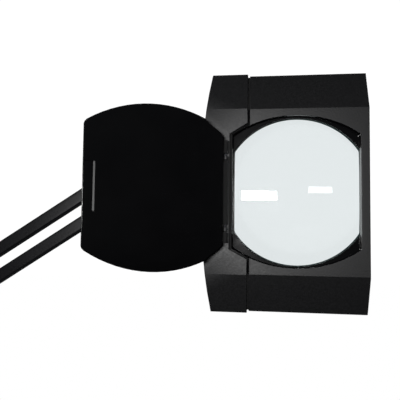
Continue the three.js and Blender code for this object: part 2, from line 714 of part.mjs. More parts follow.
// The cover is drawn closed, from its hinge line, and turned open by its group.
const PLATE_LEFT = 5.6;
const CORNER_CUT = 3;
const SHOULDER_X = 30;
const SHOULDERS = [[24, 80], [10, 71], [PLATE_LEFT, 66.5]]; // from the crown down to the hinge side
const HINGE_BARRELS = [[-64, -51], [HINGE_Z[1] + 1, HINGE_Z[0] - 8], [HINGE_Z[0] + 1, 62]];
const SCOOP_X = 160; // where the finger scoop's ramp starts
const SCOOP_Z = [-28.5, 26];
const SCOOP_DEPTH = 1.1;
const SCOOP_RAMP = 1.9;

function cover() {
  const middle = COVER_WIDTH / 2;
  const crownZ = COVER_HALF - COVER_R;
  const edge = crownZ + Math.sqrt(COVER_R ** 2 - middle ** 2);
  const crownFrom = Math.acos((middle - CORNER_CUT) / COVER_R);
  const crownTo = Math.acos((SHOULDER_X - middle) / COVER_R);
  const upper = [
    [COVER_WIDTH, edge - CORNER_CUT], [COVER_WIDTH - CORNER_CUT / 4, edge - CORNER_CUT / 5],
    ...arc(middle, crownZ, COVER_R, crownFrom, crownTo, 15), ...SHOULDERS,
  ];
  const lower = upper.map(([x, z]) => [x, -z]).reverse();
  const y = [COVER_FRONT - HINGE_Y, COVER_BACK - HINGE_Y];
  const barrels = HINGE_BARRELS.map((span) => joined(
    rod("Z", BARREL_R, ...span),
    box([0, 13], [-BARREL_R, y[0] + 0.5], span),
  ));
  const scoop = [
    [SCOOP_X, y[1]], [SCOOP_X + SCOOP_RAMP, y[1] - SCOOP_DEPTH], [COVER_WIDTH + 1, y[1] - SCOOP_DEPTH],
    [COVER_WIDTH + 1, y[1] + 1], [SCOOP_X, y[1] + 1],
  ];
  return cut(
    joined(prism("Y", [...lower, ...upper], ...y), ...barrels),
    prism("Z", scoop, ...SCOOP_Z),
    ...HINGE_Z.map((z) => rod("Z", PIN_HOLE_R, z - 10, z + 10, 12)),
  );
}

function hingePin() {
  return rod("Z", PIN_R, -7.6, 7.6, 12);
}

function powerButton() {
  return joined(
    box([-7.5, 7.5], [-3.4, 3.4], [147, 153.6]),
    box([-9, 9], [-4.2, 4.2], [145.6, 148.4]),
  ).translate([BUTTON_X, BUTTON_Y, 0]);
}

// The switch stands on the driver board, with its plunger under the button.
function powerSwitch() {
  const x = [BUTTON_X - 5, BUTTON_X + 5];
  return joined(box(x, [BUTTON_Y - 4, 35.7], [112, 132]), box(x, [BUTTON_Y - 4, BUTTON_Y + 4], [131, 143.6]));
}

const head = groupAt(wristX + HEAD_FROM_WRIST[0], HEAD_FROM_WRIST[1], wristZ + HEAD_FROM_WRIST[2]);
place(head, "front_shell", frontShell(), SHELL);
place(head, "back_shell", backShell(), SHELL);
place(head, "end_cap", endCap(), SHELL);
place(head, "neck_bush", neckBush(), NYLON);
place(head, "lens", lens(), GLASS);
place(head, "lens_gasket", lensGasket(), RUBBER);
place(head, "lens_retainer", lensRetainer(), SATIN);
[["top", 1], ["bottom", -1]].forEach(([side, way]) => {
  const strip = (x, y, low, high) => box(x, y, [low, high].map((z) => z * way).sort((a, b) => a - b));
  place(head, `led_board_${side}`, strip([-50, 72], [BOARD_Y, BOARD_Y + 1.6], 104, 120), BOARD);
  place(head, `diffuser_${side}`, strip([-51, 73], [39.4, 41.6], 98, 123), NYLON);
});
place(head, "driver_board", box([-103, -77], [36, 37.6], [62, 128]), BOARD);
place(head, "power_switch", powerSwitch(), SATIN);
place(head, "power_button", powerButton(), SATIN);
SCREW_PLACES.forEach(([x, z], i) =>
  place(head, `case_screw_${i + 1}`, caseScrew(13, 37.8).translate([x, 0, z]), STEEL));
CAP_SCREW_PLACES.forEach(([x, z], i) =>
  place(head, `cap_screw_${i + 1}`, caseScrew(40, 50.9).translate([x, 0, z]), STEEL));
HINGE_Z.forEach((z, i) =>
  place(head, `hinge_pin_${i + 1}`, hingePin().translate([HINGE_X, HINGE_Y, z]), STEEL));

const coverGroup = new THREE.Group();
coverGroup.position.set(HINGE_X, HINGE_Y, 0);
coverGroup.rotation.z = -COVER_OPEN;
head.add(coverGroup);
place(coverGroup, "lens_cover", cover(), SATIN);

export default lamp;
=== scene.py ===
# A bench magnifying lamp: a table clamp, a two-section balanced arm of paired square tubes, and a long lit
# head that carries a double-D lens under a hinged cover. Pieces are drawn in millimetres about their own
# joint and put down in metres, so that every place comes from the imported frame.
import json
import math
import bmesh
import bpy
from mathutils import Matrix, Vector


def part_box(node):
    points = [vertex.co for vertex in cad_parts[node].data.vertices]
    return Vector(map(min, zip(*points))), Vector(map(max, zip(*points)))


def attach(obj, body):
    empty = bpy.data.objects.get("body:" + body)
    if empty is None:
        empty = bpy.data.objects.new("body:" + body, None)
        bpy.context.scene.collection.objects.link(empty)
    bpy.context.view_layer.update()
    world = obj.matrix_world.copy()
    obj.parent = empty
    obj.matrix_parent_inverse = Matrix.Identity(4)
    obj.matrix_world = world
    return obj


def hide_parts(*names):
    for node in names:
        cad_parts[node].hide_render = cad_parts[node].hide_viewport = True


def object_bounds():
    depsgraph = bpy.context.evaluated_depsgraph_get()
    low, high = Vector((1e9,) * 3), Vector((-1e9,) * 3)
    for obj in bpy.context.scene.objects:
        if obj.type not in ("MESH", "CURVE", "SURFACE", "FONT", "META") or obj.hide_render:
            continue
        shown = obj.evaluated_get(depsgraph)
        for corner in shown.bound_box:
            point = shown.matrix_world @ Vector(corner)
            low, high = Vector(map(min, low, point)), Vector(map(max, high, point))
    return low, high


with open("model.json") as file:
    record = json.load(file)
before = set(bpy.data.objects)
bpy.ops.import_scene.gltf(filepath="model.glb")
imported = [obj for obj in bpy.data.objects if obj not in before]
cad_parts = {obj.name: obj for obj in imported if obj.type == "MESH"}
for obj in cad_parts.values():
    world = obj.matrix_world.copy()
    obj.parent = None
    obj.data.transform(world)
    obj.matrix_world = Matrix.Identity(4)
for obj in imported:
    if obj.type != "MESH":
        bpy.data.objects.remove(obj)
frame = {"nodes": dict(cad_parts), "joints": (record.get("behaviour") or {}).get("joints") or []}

# Studio: a room and floor that look white but light the lamp little, a strip softbox left of the camera, and
# two soft lights behind. The strip is the key light, and both faces of the glass mirror it as a white bar.
cad_low, cad_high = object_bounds()
nodes = frame["nodes"]
pivot = {j["name"]: Vector(j["pos_m"]) for j in frame["joints"] if "pos_m" in j}
scene = bpy.context.scene
scene.view_settings.view_transform = "Standard"
MM = 0.001
lens_low, lens_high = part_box("lens")
lens_middle = (lens_low + lens_high) / 2
head_origin = Vector((lens_middle.x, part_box("front_shell")[0].y, lens_middle.z))


def in_head(x, y, z):
    """A place from millimetres right, back and up of the lens centre, in the plane of the head's face."""
    return head_origin + Vector((x, y, z)) * MM


camera = bpy.data.objects.new("camera", bpy.data.cameras.new("camera"))
scene.collection.objects.link(camera)
right = Vector((0.9922, 0.1244, 0.0121))
forward = Vector((-0.1249, 0.9907, 0.0534))
turn = Matrix((right, right.cross(forward), -forward)).transposed()
camera.matrix_world = Matrix.Translation(in_head(-48.6, -557.6, -41.5)) @ turn.to_4x4()
camera.data.lens = 40.5
camera.data.sensor_width = 36
camera.data.clip_end = 50
scene.camera = camera


def linear(code):
    """The linear colour of an sRGB hex code."""
    parts = [int(code[i:i + 2], 16) / 255 for i in (1, 3, 5)]
    return tuple(c / 12.92 if c <= 0.04045 else ((c + 0.055) / 1.055) ** 2.4 for c in parts) + (1,)


def add(tree, kind, settings=None, **inputs):
    """Adds a node with its settings. Inputs go by name with _ for a space, or by place as _0, _1, _2."""
    made = tree.nodes.new(kind)
    for key, value in (settings or {}).items():
        setattr(made, key, value)
    for key, value in inputs.items():
        socket = made.inputs[int(key[1:])] if key[0] == "_" else made.inputs[key.replace("_", " ")]
        if isinstance(value, bpy.types.NodeSocket):
            tree.links.new(value, socket)
        else:
            socket.default_value = value
    return made


def bright_to_the_eye(tree, seen, lit):
    """Shows one shader to the camera and through the glass, and lights the lamp with the other."""
    path = add(tree, "ShaderNodeLightPath")
    eye = add(tree, "ShaderNodeMath", {"operation": "MAXIMUM"},
              _0=path.outputs["Is Camera Ray"], _1=path.outputs["Is Transmission Ray"])
    return add(tree, "ShaderNodeMixShader", _0=eye.outputs[0], _1=lit, _2=seen).outputs[0]


room = bpy.data.worlds.new("white room")
room.use_nodes = True
room.node_tree.nodes.clear()
seen = add(room.node_tree, "ShaderNodeBackground", Color=(1, 1, 1, 1), Strength=1.05)
direction = add(room.node_tree, "ShaderNodeTexCoord").outputs["Generated"]
height = add(room.node_tree, "ShaderNodeSeparateXYZ", _0=direction).outputs[2]
gloom = add(room.node_tree, "ShaderNodeMapRange", _0=height, _1=-1.0, _2=1.0, _3=0, _4=0.08)
lit = add(room.node_tree, "ShaderNodeBackground", Color=linear("#eef2f8"), Strength=gloom.outputs[0])
add(room.node_tree, "ShaderNodeOutputWorld",
    Surface=bright_to_the_eye(room.node_tree, seen.outputs[0], lit.outputs[0]))
scene.world = room

floor_paint = bpy.data.materials.new("pale floor paint")
floor_paint.use_nodes = True
tree = floor_paint.node_tree
tree.nodes.clear()
seen = add(tree, "ShaderNodeEmission", Color=(1, 1, 1, 1), Strength=1.0)
lit = add(tree, "ShaderNodeBsdfDiffuse", Color=linear("#404142"))
add(tree, "ShaderNodeOutputMaterial", Surface=bright_to_the_eye(tree, seen.outputs[0], lit.outputs[0]))
FLOOR_REACH = 6
floor_mesh = bpy.data.meshes.new("floor")
floor_mesh.from_pydata([(x * FLOOR_REACH, y * FLOOR_REACH, cad_low.z - 0.002)
                        for x, y in ((-1, -1), (1, -1), (1, 1), (-1, 1))], [], [(0, 1, 2, 3)])
floor_mesh.materials.append(floor_paint)
floor = bpy.data.objects.new("floor", floor_mesh)
scene.collection.objects.link(floor)


def softbox(name, place, width, height, watts):
    """A rectangular soft light at a place, facing the head."""
    light = bpy.data.lights.new(name, "AREA")
    light.shape = "RECTANGLE"
    light.size = width
    light.size_y = height
    light.energy = watts
    lamp = bpy.data.objects.new(name, light)
    turn = (head_origin - place).to_track_quat("-Z", "Y")
    lamp.matrix_world = Matrix.Translation(place) @ turn.to_matrix().to_4x4()
    scene.collection.objects.link(lamp)


softbox("strip_light", in_head(-246, -1000, 38), 0.325, 0.085, 7.7)
softbox("top_light", in_head(-300, 900, 1500), 1.2, 0.8, 12)
softbox("back_light", in_head(1300, 1500, 400), 1.4, 1.4, 45)

# Table clamp: a cast iron C with a socket for the post, powder coated black. It is a prism with two turned
# bosses joined on and two holes cut, and its edges are rounded as a casting's are.


def rounded(points, radius, closed=False, steps=4):
    """The same outline or profile with its corners rounded, where its sides are long enough."""
    done = []
    for i, corner in enumerate(points):
        if not closed and i in (0, len(points) - 1):
            done.append(tuple(corner))
            continue
        here = Vector(corner)
        before = Vector(points[i - 1]) - here
        after = Vector(points[(i + 1) % len(points)]) - here
        if before.length < 1e-6 or after.length < 1e-6 or before.angle(after) > math.radians(160):
            done.append(tuple(corner))
            continue
        size = min(radius, before.length * 0.45, after.length * 0.45)
        start = here + before.normalized() * size
        end = here + after.normalized() * size
        for step in range(steps + 1):
            t = step / steps
            done.append(tuple(start * (1 - t) ** 2 + here * 2 * t * (1 - t) + end * t * t))
    return done


def arc(cx, cy, radius, start, end, steps):
    """Points along an arc, from one angle to another in degrees."""
    angles = [math.radians(start + (end - start) * i / steps) for i in range(steps + 1)]
    return [(cx + radius * math.cos(a), cy + radius * math.sin(a)) for a in angles]


def placed(axis, a, b, s):
    """A point at (a, b) in an axis's own plane and s along it: X has (y, z), Y has (x, z), Z has (x, y)."""
    return {"X": (s, a, b), "Y": (a, s, b), "Z": (a, b, s)}[axis]


def prism(axis, outline, low, high):
    """A straight body on an outline."""
    shape = bmesh.new()
    ends = [[shape.verts.new(placed(axis, a, b, s)) for a, b in outline] for s in (low, high)]
    shape.faces.new(ends[0])
    shape.faces.new(ends[1])
    for i in range(len(outline)):
        shape.faces.new((ends[0][i - 1], ends[0][i], ends[1][i], ends[1][i - 1]))
    bmesh.ops.recalc_face_normals(shape, faces=shape.faces)
    return shape


def block(x, y, z):
    """A box from its three ranges."""
    return prism("Z", [(x[0], y[0]), (x[1], y[0]), (x[1], y[1]), (x[0], y[1])], *z)


def turned(axis, profile, centre=(0, 0), segments=64):
    """A body turned on a lathe, from (radius, place along the axis) points that end on the axis."""
    shape = bmesh.new()
    rings = []
    for radius, s in profile:
        if radius < 1e-6:
            rings.append([shape.verts.new(placed(axis, *centre, s))] * segments)
            continue
        circle = [(centre[0] + radius * math.cos(i * math.tau / segments),
                   centre[1] + radius * math.sin(i * math.tau / segments)) for i in range(segments)]
        rings.append([shape.verts.new(placed(axis, a, b, s)) for a, b in circle])
    pairs = list(zip(rings, rings[1:]))
    if profile[0][0] > 1e-6:
        pairs.append((rings[-1], rings[0]))
    for one, two in pairs:
        for i in range(segments):
            corners = dict.fromkeys((one[i - 1], one[i], two[i], two[i - 1]))
            if len(corners) > 2:
                shape.faces.new(corners)
    bmesh.ops.recalc_face_normals(shape, faces=shape.faces)
    return shape


def rod(axis, radius, low, high, centre=(0, 0), segments=48):
    """A plain round bar."""
    return turned(axis, [(0, low), (radius, low), (radius, high), (0, high)], centre, segments)


def holder(shape):
    """A passing object for a shape that modifiers work on."""
    mesh = bpy.data.meshes.new("passing")
    shape.to_mesh(mesh)
    shape.free()
    made = bpy.data.objects.new("passing", mesh)
    scene.collection.objects.link(made)
    return made


def evaluated(made):
    """The mesh that an object's modifiers make."""
    bpy.context.view_layer.update()
    return bpy.data.meshes.new_from_object(made.evaluated_get(bpy.context.evaluated_depsgraph_get()))


def combined(operation, base, tools):
    """A shape joined with others, or cut by them."""
    body = holder(base)
    others = [holder(tool) for tool in tools]
    for other in others:
        change = body.modifiers.new("combine", "BOOLEAN")
        change.operation = operation
        change.solver = "EXACT"
        change.object = other
    mesh = evaluated(body)
    shape = bmesh.new()
    shape.from_mesh(mesh)
    for passing in (body, *others):
        bpy.data.meshes.remove(passing.data)
    bpy.data.meshes.remove(mesh)
    bmesh.ops.remove_doubles(shape, verts=shape.verts, dist=1e-4)
    return shape


def joined(base, *tools):
    return combined("UNION", base, tools)


def cut(base, *tools):
    return combined("DIFFERENCE", base, tools)


CREASE = math.radians(32)


def put(name, shape, where, material, body, slot, *replaced, bevel=0, flat=None):
    """Puts a shape drawn in millimetres in its place, rounds its edges, and fixes it to its body.

    Faces of the material at place flat keep one plain direction each."""
    made = holder(shape)
    made.name = made.data.name = name
    made.data.transform(where @ Matrix.Scale(MM, 4))
    for one in material if isinstance(material, tuple) else (material,):
        made.data.materials.append(one)
    made.data.polygons.foreach_set("use_smooth", [face.material_index != flat for face in made.data.polygons])
    if bevel:
        edge = made.modifiers.new("rounded edges", "BEVEL")
        edge.width = bevel * MM
        edge.segments = 3
        edge.limit_method = "ANGLE"
        edge.angle_limit = CREASE
        edge.use_clamp_overlap = False
        even = made.modifiers.new("flat faces", "WEIGHTED_NORMAL")
        even.keep_sharp = True
        rough = made.data
        made.data = evaluated(made)
        made.modifiers.clear()
        bpy.data.meshes.remove(rough)
        made.data.name = name
    else:
        made.data.set_sharp_from_angle(angle=CREASE)
    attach(made, body)
    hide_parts(*replaced)
    return made


def surface(name, code, roughness, metallic=0, **more):
    """Starts a material with the real surface's colour and gloss, and gives its tree and shader too."""
    material = bpy.data.materials.new(name)
    material.use_nodes = True
    shader = material.node_tree.nodes["Principled BSDF"]
    shader.inputs["Base Color"].default_value = linear(code)
    shader.inputs["Roughness"].default_value = roughness
    shader.inputs["Metallic"].default_value = metallic
    for key, value in more.items():
        shader.inputs[key.replace("_", " ")].default_value = value
    return material, material.node_tree, shader


def noise(tree, millimetres, detail=2):
    """Noise with features of about the size given, on the piece's own coordinates."""
    place = add(tree, "ShaderNodeTexCoord").outputs["Object"]
    scale = 1 / (millimetres * MM)
    return add(tree, "ShaderNodeTexNoise", Vector=place, Scale=scale, Detail=detail).outputs[0]


def ranged(tree, value, low, high, start=0.3, end=0.7):
    """A pattern's usual spread brought to a range."""
    return add(tree, "ShaderNodeMapRange", _0=value, _1=start, _2=end, _3=low, _4=high).outputs[0]


def mottled(tree, shader, value, dark, light):
    """Colours a surface between two hex colours by a pattern."""
    mix = add(tree, "ShaderNodeMix", {"data_type": "RGBA"}, _0=value, _6=linear(dark), _7=linear(light))
    tree.links.new(mix.outputs[2], shader.inputs["Base Color"])


def raised(tree, shader, height, millimetres, strength=1):
    """Turns a pattern into relief of the depth given."""
    bump = add(tree, "ShaderNodeBump", Strength=strength, Distance=millimetres * MM, Height=height)
    tree.links.new(bump.outputs[0], shader.inputs["Normal"])


# Powder coat on steel: a baked polyester skin, so a low orange-peel swell under a semi-gloss black.
powder_coat, tree, shader = surface("powder coated steel", "#0b0b0e", 0.33)
swell = noise(tree, 1.6, 3)
mottled(tree, shader, ranged(tree, noise(tree, 30), 0, 1), "#08080a", "#101014")
tree.links.new(ranged(tree, swell, 0.27, 0.4), shader.inputs["Roughness"])
raised(tree, shader, swell, 0.12, 0.5)

CLEARANCE = 0.3
JAW_HALF_WIDTH = 16
JAW_FRONT = -24
SPINE = (30, 44)
TOP_JAW_Z = 14
LOW_JAW_Z = (-92, -78)
SOCKET_Z = 46
PAD_THICKNESS = 2
SCREW_R = 6
seat = Matrix()
side = [
    (JAW_FRONT, PAD_THICKNESS + CLEARANCE), (SPINE[0], PAD_THICKNESS + CLEARANCE), (SPINE[0], LOW_JAW_Z[1]),
    (-16, LOW_JAW_Z[1]), (-16, LOW_JAW_Z[0]), (SPINE[1] - 8, LOW_JAW_Z[0]), (SPINE[1], LOW_JAW_Z[0] + 8),
    (SPINE[1], TOP_JAW_Z - 5), (SPINE[1] - 5, TOP_JAW_Z), (JAW_FRONT + 3, TOP_JAW_Z),
    (JAW_FRONT, TOP_JAW_Z - 3),
]
casting = joined(
    prism("X", rounded(side, 3, closed=True), -JAW_HALF_WIDTH, JAW_HALF_WIDTH),
    rod("Z", 15, TOP_JAW_Z - 1, SOCKET_Z, segments=72),
    rod("Z", 11, LOW_JAW_Z[0] - 6, LOW_JAW_Z[1], segments=72),
)
casting = cut(
    casting,
    rod("Z", 11, 6, SOCKET_Z + 1),
    rod("Z", SCREW_R + 0.4, LOW_JAW_Z[0] - 8, LOW_JAW_Z[1] + 1),
)
put("clamp_casting", casting, seat, powder_coat, "clamp", "powder_coated_steel", "clamp_frame", bevel=1.2)

# Clamp pad: a moulded rubber facing on the jaw, so that the clamp grips and doesn't mark the table.
rubber, tree, shader = surface("moulded black rubber", "#141415", 0.8)
grain = noise(tree, 0.9, 2)
mottled(tree, shader, grain, "#0f0f10", "#1c1c1d")
raised(tree, shader, grain, 0.08)
pad = block((-15, 15), (-23, 28), (0, PAD_THICKNESS))
put("clamp_pad", pad, seat, rubber, "clamp", "black_rubber", "clamp_top_pad", bevel=0.5)

# Nylon bushes and washers, turned from natural rod: milky and waxy, with fine turning marks.
nylon, tree, shader = surface("natural nylon", "#d9d7cb", 0.42, IOR=1.53, Subsurface_Weight=0.15)
shader.inputs["Subsurface Radius"].default_value = (0.004, 0.004, 0.003)
place = add(tree, "ShaderNodeTexCoord").outputs["Object"]
marks = add(tree, "ShaderNodeTexWave", {"bands_direction": "Z"}, Vector=place, Scale=800, Distortion=0.4)
mottled(tree, shader, noise(tree, 6), "#d1cfc2", "#e2e0d6")
raised(tree, shader, marks.outputs[1], 0.02, 0.4)
POST_R = 8
bush = [
    (POST_R + CLEARANCE, 10), (10.7, 10), (10.7, SOCKET_Z + CLEARANCE), (14.4, SOCKET_Z + CLEARANCE),
    (14.4, SOCKET_Z + 2.3), (POST_R + CLEARANCE, SOCKET_Z + 2.3),
]
put("post_bush_turned", turned("Z", rounded(bush, 0.6, closed=True)), seat, nylon,
    "clamp", "natural_nylon", "post_bush")

# Clamp screw: rolled thread on a zinc-plated bar, with a sliding T handle and a swivelling foot.
# Zinc plate is a bright bluish grey with soft drawn streaks and cloudy patches of passivation.
zinc, tree, shader = surface("zinc plated steel", "#b4b7ba", 0.3, 1)
cloud = noise(tree, 9, 4)
mottled(tree, shader, ranged(tree, cloud, 0, 1), "#9fa3a8", "#c3c5c6")
tree.links.new(ranged(tree, noise(tree, 2.5, 4), 0.2, 0.42), shader.inputs["Roughness"])
raised(tree, shader, noise(tree, 0.8, 2), 0.02, 0.5)
SCREW_PAD_Z = -43
HANDLE_Z = -154
THREAD_PITCH = 3
THREAD_DEPTH = 1.1


def tree_of_geometry(name, **sizes):
    """A geometry tree whose inputs have the names and starting values given."""
    group = bpy.data.node_groups.new(name, "GeometryNodeTree")
    for way in ("INPUT", "OUTPUT"):
        group.interface.new_socket("Geometry", in_out=way, socket_type="NodeSocketGeometry")
    kinds = {float: "NodeSocketFloat", int: "NodeSocketInt", bpy.types.Object: "NodeSocketObject",
             bpy.types.Material: "NodeSocketMaterial"}
    for label, value in sizes.items():
        socket = group.interface.new_socket(label.replace("_", " "), in_out="INPUT",
                                            socket_type=kinds[type(value)])
        socket.default_value = value
    return group, add(group, "NodeGroupInput").outputs


def ended(group, geometry, material):
    """Ends a geometry tree in plain geometry with its material."""
    real = add(group, "GeometryNodeRealizeInstances", _0=geometry)
    coated = add(group, "GeometryNodeSetMaterial", Geometry=real.outputs[0], Material=material)
    add(group, "NodeGroupOutput", _0=coated.outputs[0])


def grown(group, host=None, **sizes):
    """The shape that a geometry tree makes, on a host shape if it needs one."""
    body = holder(host or bmesh.new())
    maker = body.modifiers.new("grown", "NODES")
    maker.node_group = group
    for item in group.interface.items_tree:
        label = item.name.replace(" ", "_")
        if item.in_out == "INPUT" and label in sizes:
            maker[item.identifier] = sizes[label]
    mesh = evaluated(body)
    shape = bmesh.new()
    shape.from_mesh(mesh)
    bpy.data.meshes.remove(mesh)
    bpy.data.meshes.remove(body.data)
    return shape


helix, given = tree_of_geometry("helix", Turns=10.0, Radius=5.0, Length=30.0, Wire_Radius=1.0, Wire_Sides=3,
                                Material=zinc)
spiral = add(helix, "GeometryNodeCurveSpiral", Resolution=32, Rotations=given["Turns"],
             Start_Radius=given["Radius"], End_Radius=given["Radius"], Height=given["Length"])
upright = add(helix, "GeometryNodeSetCurveNormal", {"mode": "Z_UP"}, Curve=spiral.outputs[0])
wire = add(helix, "GeometryNodeCurvePrimitiveCircle", Resolution=given["Wire Sides"],
           Radius=given["Wire Radius"])
wound = add(helix, "GeometryNodeCurveToMesh", Curve=upright.outputs[0], Profile_Curve=wire.outputs[0],
            Fill_Caps=True)
ended(helix, wound.outputs[0], given["Material"])


def added(base, *others):
    """Several shapes in one piece, side by side."""
    for other in others:
        mesh = bpy.data.meshes.new("passing")
        other.to_mesh(mesh)
        other.free()
        base.from_mesh(mesh)
        bpy.data.meshes.remove(mesh)
    return base


def moved(shape, x=0, y=0, z=0, turn=None):
    """A shape turned and moved, in millimetres."""
    if turn:
        bmesh.ops.transform(shape, matrix=turn, verts=shape.verts)
    bmesh.ops.translate(shape, vec=(x, y, z), verts=shape.verts)
    return shape


core_r = SCREW_R - THREAD_DEPTH
thread_low = HANDLE_Z + 12
thread_high = SCREW_PAD_Z - 12
bar = turned("Z", rounded([
    (0, HANDLE_Z - 9), (7, HANDLE_Z - 9), (9, HANDLE_Z - 7), (9, HANDLE_Z + 7), (SCREW_R, HANDLE_Z + 9),
    (core_r, thread_low), (core_r, thread_high), (4.5, SCREW_PAD_Z - 6.3), (0, SCREW_PAD_Z - 6.3),
], 1))
bar = cut(bar, rod("X", 3.4, -12, 12, (0, HANDLE_Z)))
thread = grown(helix, Turns=(thread_high - thread_low) / THREAD_PITCH, Radius=core_r,
               Length=float(thread_high - thread_low), Wire_Radius=THREAD_DEPTH, Wire_Sides=3)
put("clamp_screw_threaded", added(bar, moved(thread, z=thread_low)), seat, zinc,
    "screw", "zinc_steel", "clamp_screw")
handle = turned("X", rounded([
    (0, -42), (3.5, -42), (5, -40), (5, -36), (3, -34), (3, 34), (5, 36), (5, 40), (3.5, 42), (0, 42),
], 1), (0, HANDLE_Z), 40)
put("clamp_t_handle", handle, seat, zinc, "screw", "zinc_steel", "clamp_handle")
foot = [
    (0, SCREW_PAD_Z - 6), (SCREW_R + CLEARANCE, SCREW_PAD_Z - 6), (SCREW_R + CLEARANCE, SCREW_PAD_Z - 11),
    (9.5, SCREW_PAD_Z - 11), (10.5, SCREW_PAD_Z - 5), (17, SCREW_PAD_Z - 4), (17, SCREW_PAD_Z),
    (14, SCREW_PAD_Z), (13.5, SCREW_PAD_Z - 0.6), (11.5, SCREW_PAD_Z - 0.6), (11, SCREW_PAD_Z),
    (0, SCREW_PAD_Z),
]
put("clamp_foot", turned("Z", rounded(foot, 0.7)), seat, zinc, "screw_pad", "zinc_steel", "clamp_swivel_pad")

# Base: a turned post that drops in the clamp's socket, under a folded steel channel for the lower arm.
base_right = pivot["lower_arm_tilt"]
base_left = pivot["lower_left_pivot"]
PIVOT_Z = base_right.z / MM
HALF_PITCH = (base_right.x - base_left.x) / 2 / MM
CHEEK = (8.6, 11.1)
COLLAR = (SOCKET_Z + 2.6, 53)
CHANNEL_Z = (53.3, 56.3)
post = turned("Z", rounded([
    (0, 8), (POST_R - 1, 8), (POST_R, 9), (POST_R, COLLAR[0]), (13.5, COLLAR[0]), (13.5, COLLAR[1] - 1),
    (12.5, COLLAR[1]), (0, COLLAR[1]),
], 0.8))
put("base_post_turned", post, seat, zinc, "post", "zinc_steel", "base_post")
top = PIVOT_Z + 13
side = [(-32, CHANNEL_Z[0]), (32, CHANNEL_Z[0]), *arc(22, top - 10, 10, 0, 90, 16),
        *arc(-22, top - 10, 10, 90, 180, 16)]
channel = cut(
    prism("Y", side, -CHEEK[1], CHEEK[1]),
    block((-40, 40), (-CHEEK[0], CHEEK[0]), (CHANNEL_Z[1], 100)),
    *[rod("Y", 2.9, -20, 20, (x, PIVOT_Z)) for x in (-HALF_PITCH, HALF_PITCH)],
)
put("base_channel", channel, seat, powder_coat, "post", "powder_coated_steel", "base_bracket", bevel=0.6)

# DC inlet: a small moulded socket on the base, with a nickel pin in its barrel.
satin, tree, shader = surface("satin moulded ABS", "#050506", 0.17, IOR=1.53)
fine = noise(tree, 0.7, 2)
mottled(tree, shader, ranged(tree, noise(tree, 40), 0, 1), "#040405", "#070708")
tree.links.new(ranged(tree, fine, 0.14, 0.2), shader.inputs["Roughness"])
raised(tree, shader, fine, 0.03, 0.6)
INLET_Z = 61.5
socket = cut(block((-46, -32.3), (-6.5, 6.5), (55, 68)), rod("X", 3.3, -50, -36, (0, INLET_Z)))
pin = turned("X", rounded([(0, -45), (0.9, -44.2), (0.9, -35.5), (0, -35.5)], 0.5), (0, INLET_Z), 24)
put("dc_socket", socket, seat, satin, "post", "satin_abs", "dc_inlet", bevel=0.6)
put("dc_socket_pin", pin, seat, zinc, "post", "zinc_steel")

# Pivot bolts: zinc-plated button heads with a hex socket in front, and a locking nut behind.


def hexagon(radius):
    return [(radius * math.cos(i * math.tau / 6), radius * math.sin(i * math.tau / 6)) for i in range(6)]


def button_head(low, way):
    """A domed head that stands on a plane across Y, with its key socket, facing way along Y."""
    dome = turned("Y", rounded([
        (0, low + way * 3.2), (3.2, low + way * 3.2), (4.7, low + way * 2.4), (5.2, low + way * 1),
        (5.2, low), (0, low),
    ], 0.8), segments=40)
    ends = sorted((low + way * 1.2, low + way * 4))
    return cut(dome, prism("Y", hexagon(1.9), *ends))


def lock_nut(low):
    """A hex nut with a nylon collar's rounded end, standing on a plane across Y."""
    blank = prism("Y", hexagon(4.8), low, low + 3.4)
    crown = turned("Y", rounded([(0, low), (4.4, low), (4.9, low + 0.5), (4.9, low + 2.9), (4.2, low + 3.4),
                                 (3.6, low + 3.9), (3.4, low + 4.4), (0, low + 4.4)], 0.3), segments=40)
    return combined("INTERSECT", blank, [crown])


FACE = CHEEK[1] + CLEARANCE
bolt_blank = added(
    button_head(-FACE, -1),
    lock_nut(FACE),
    rod("Y", 2.5, -FACE, FACE, segments=32),
    turned("Y", rounded([(0, FACE), (2.4, FACE), (2.4, FACE + 4.2), (1.9, FACE + 4.6), (0, FACE + 4.6)], 0.3),
           segments=32),
)
blank = holder(bolt_blank)
bolting, given = tree_of_geometry("bolts", Bolt=blank, Size=1.0, Material=zinc)
source = add(bolting, "GeometryNodeObjectInfo", Object=given["Bolt"])
several = add(bolting, "GeometryNodeInstanceOnPoints", Points=given["Geometry"],
              Instance=source.outputs["Geometry"], Scale=given["Size"])
ended(bolting, several.outputs[0], given["Material"])


def bolts(name, places, body, *replaced):
    """Pivot bolts at places in the frame, as one piece."""
    points = bmesh.new()
    for place in places:
        points.verts.new(place / MM)
    put(name, grown(bolting, points, Bolt=blank), Matrix(), zinc, body, "zinc_steel", *replaced)


bolts("base_bolts", [base_left, base_right], "post", "base_bolt_left", "base_bolt_right")

# Arms: pairs of 16 mm square welded steel tubes, powder coated, each pair with one balance spring inside.
TUBE = 16
TUBE_WALL = 1.5
TUBE_END = 8.5
SPRING = (20, 118)
SPRING_TURNS = 22
ANCHOR = 124
pitch = pivot["upper_top_pivot"] - pivot["upper_arm_tilt"]
wrist_low = pivot["wrist_level"]
wrist_high = wrist_low + pitch
elbow_right = pivot["elbow_level"]
elbow_left = elbow_right + (base_left - base_right)


def along(start, end):
    """A frame at one pivot with its X towards another, and Y straight back."""
    x = (end - start).normalized()
    y = Vector((0, 1, 0))
    return Matrix.Translation(start) @ Matrix((x, y, x.cross(y))).transposed().to_4x4()


def square(half, corner):
    return rounded([(-half, -half), (half, -half), (half, half), (-half, half)], corner, closed=True, steps=5)


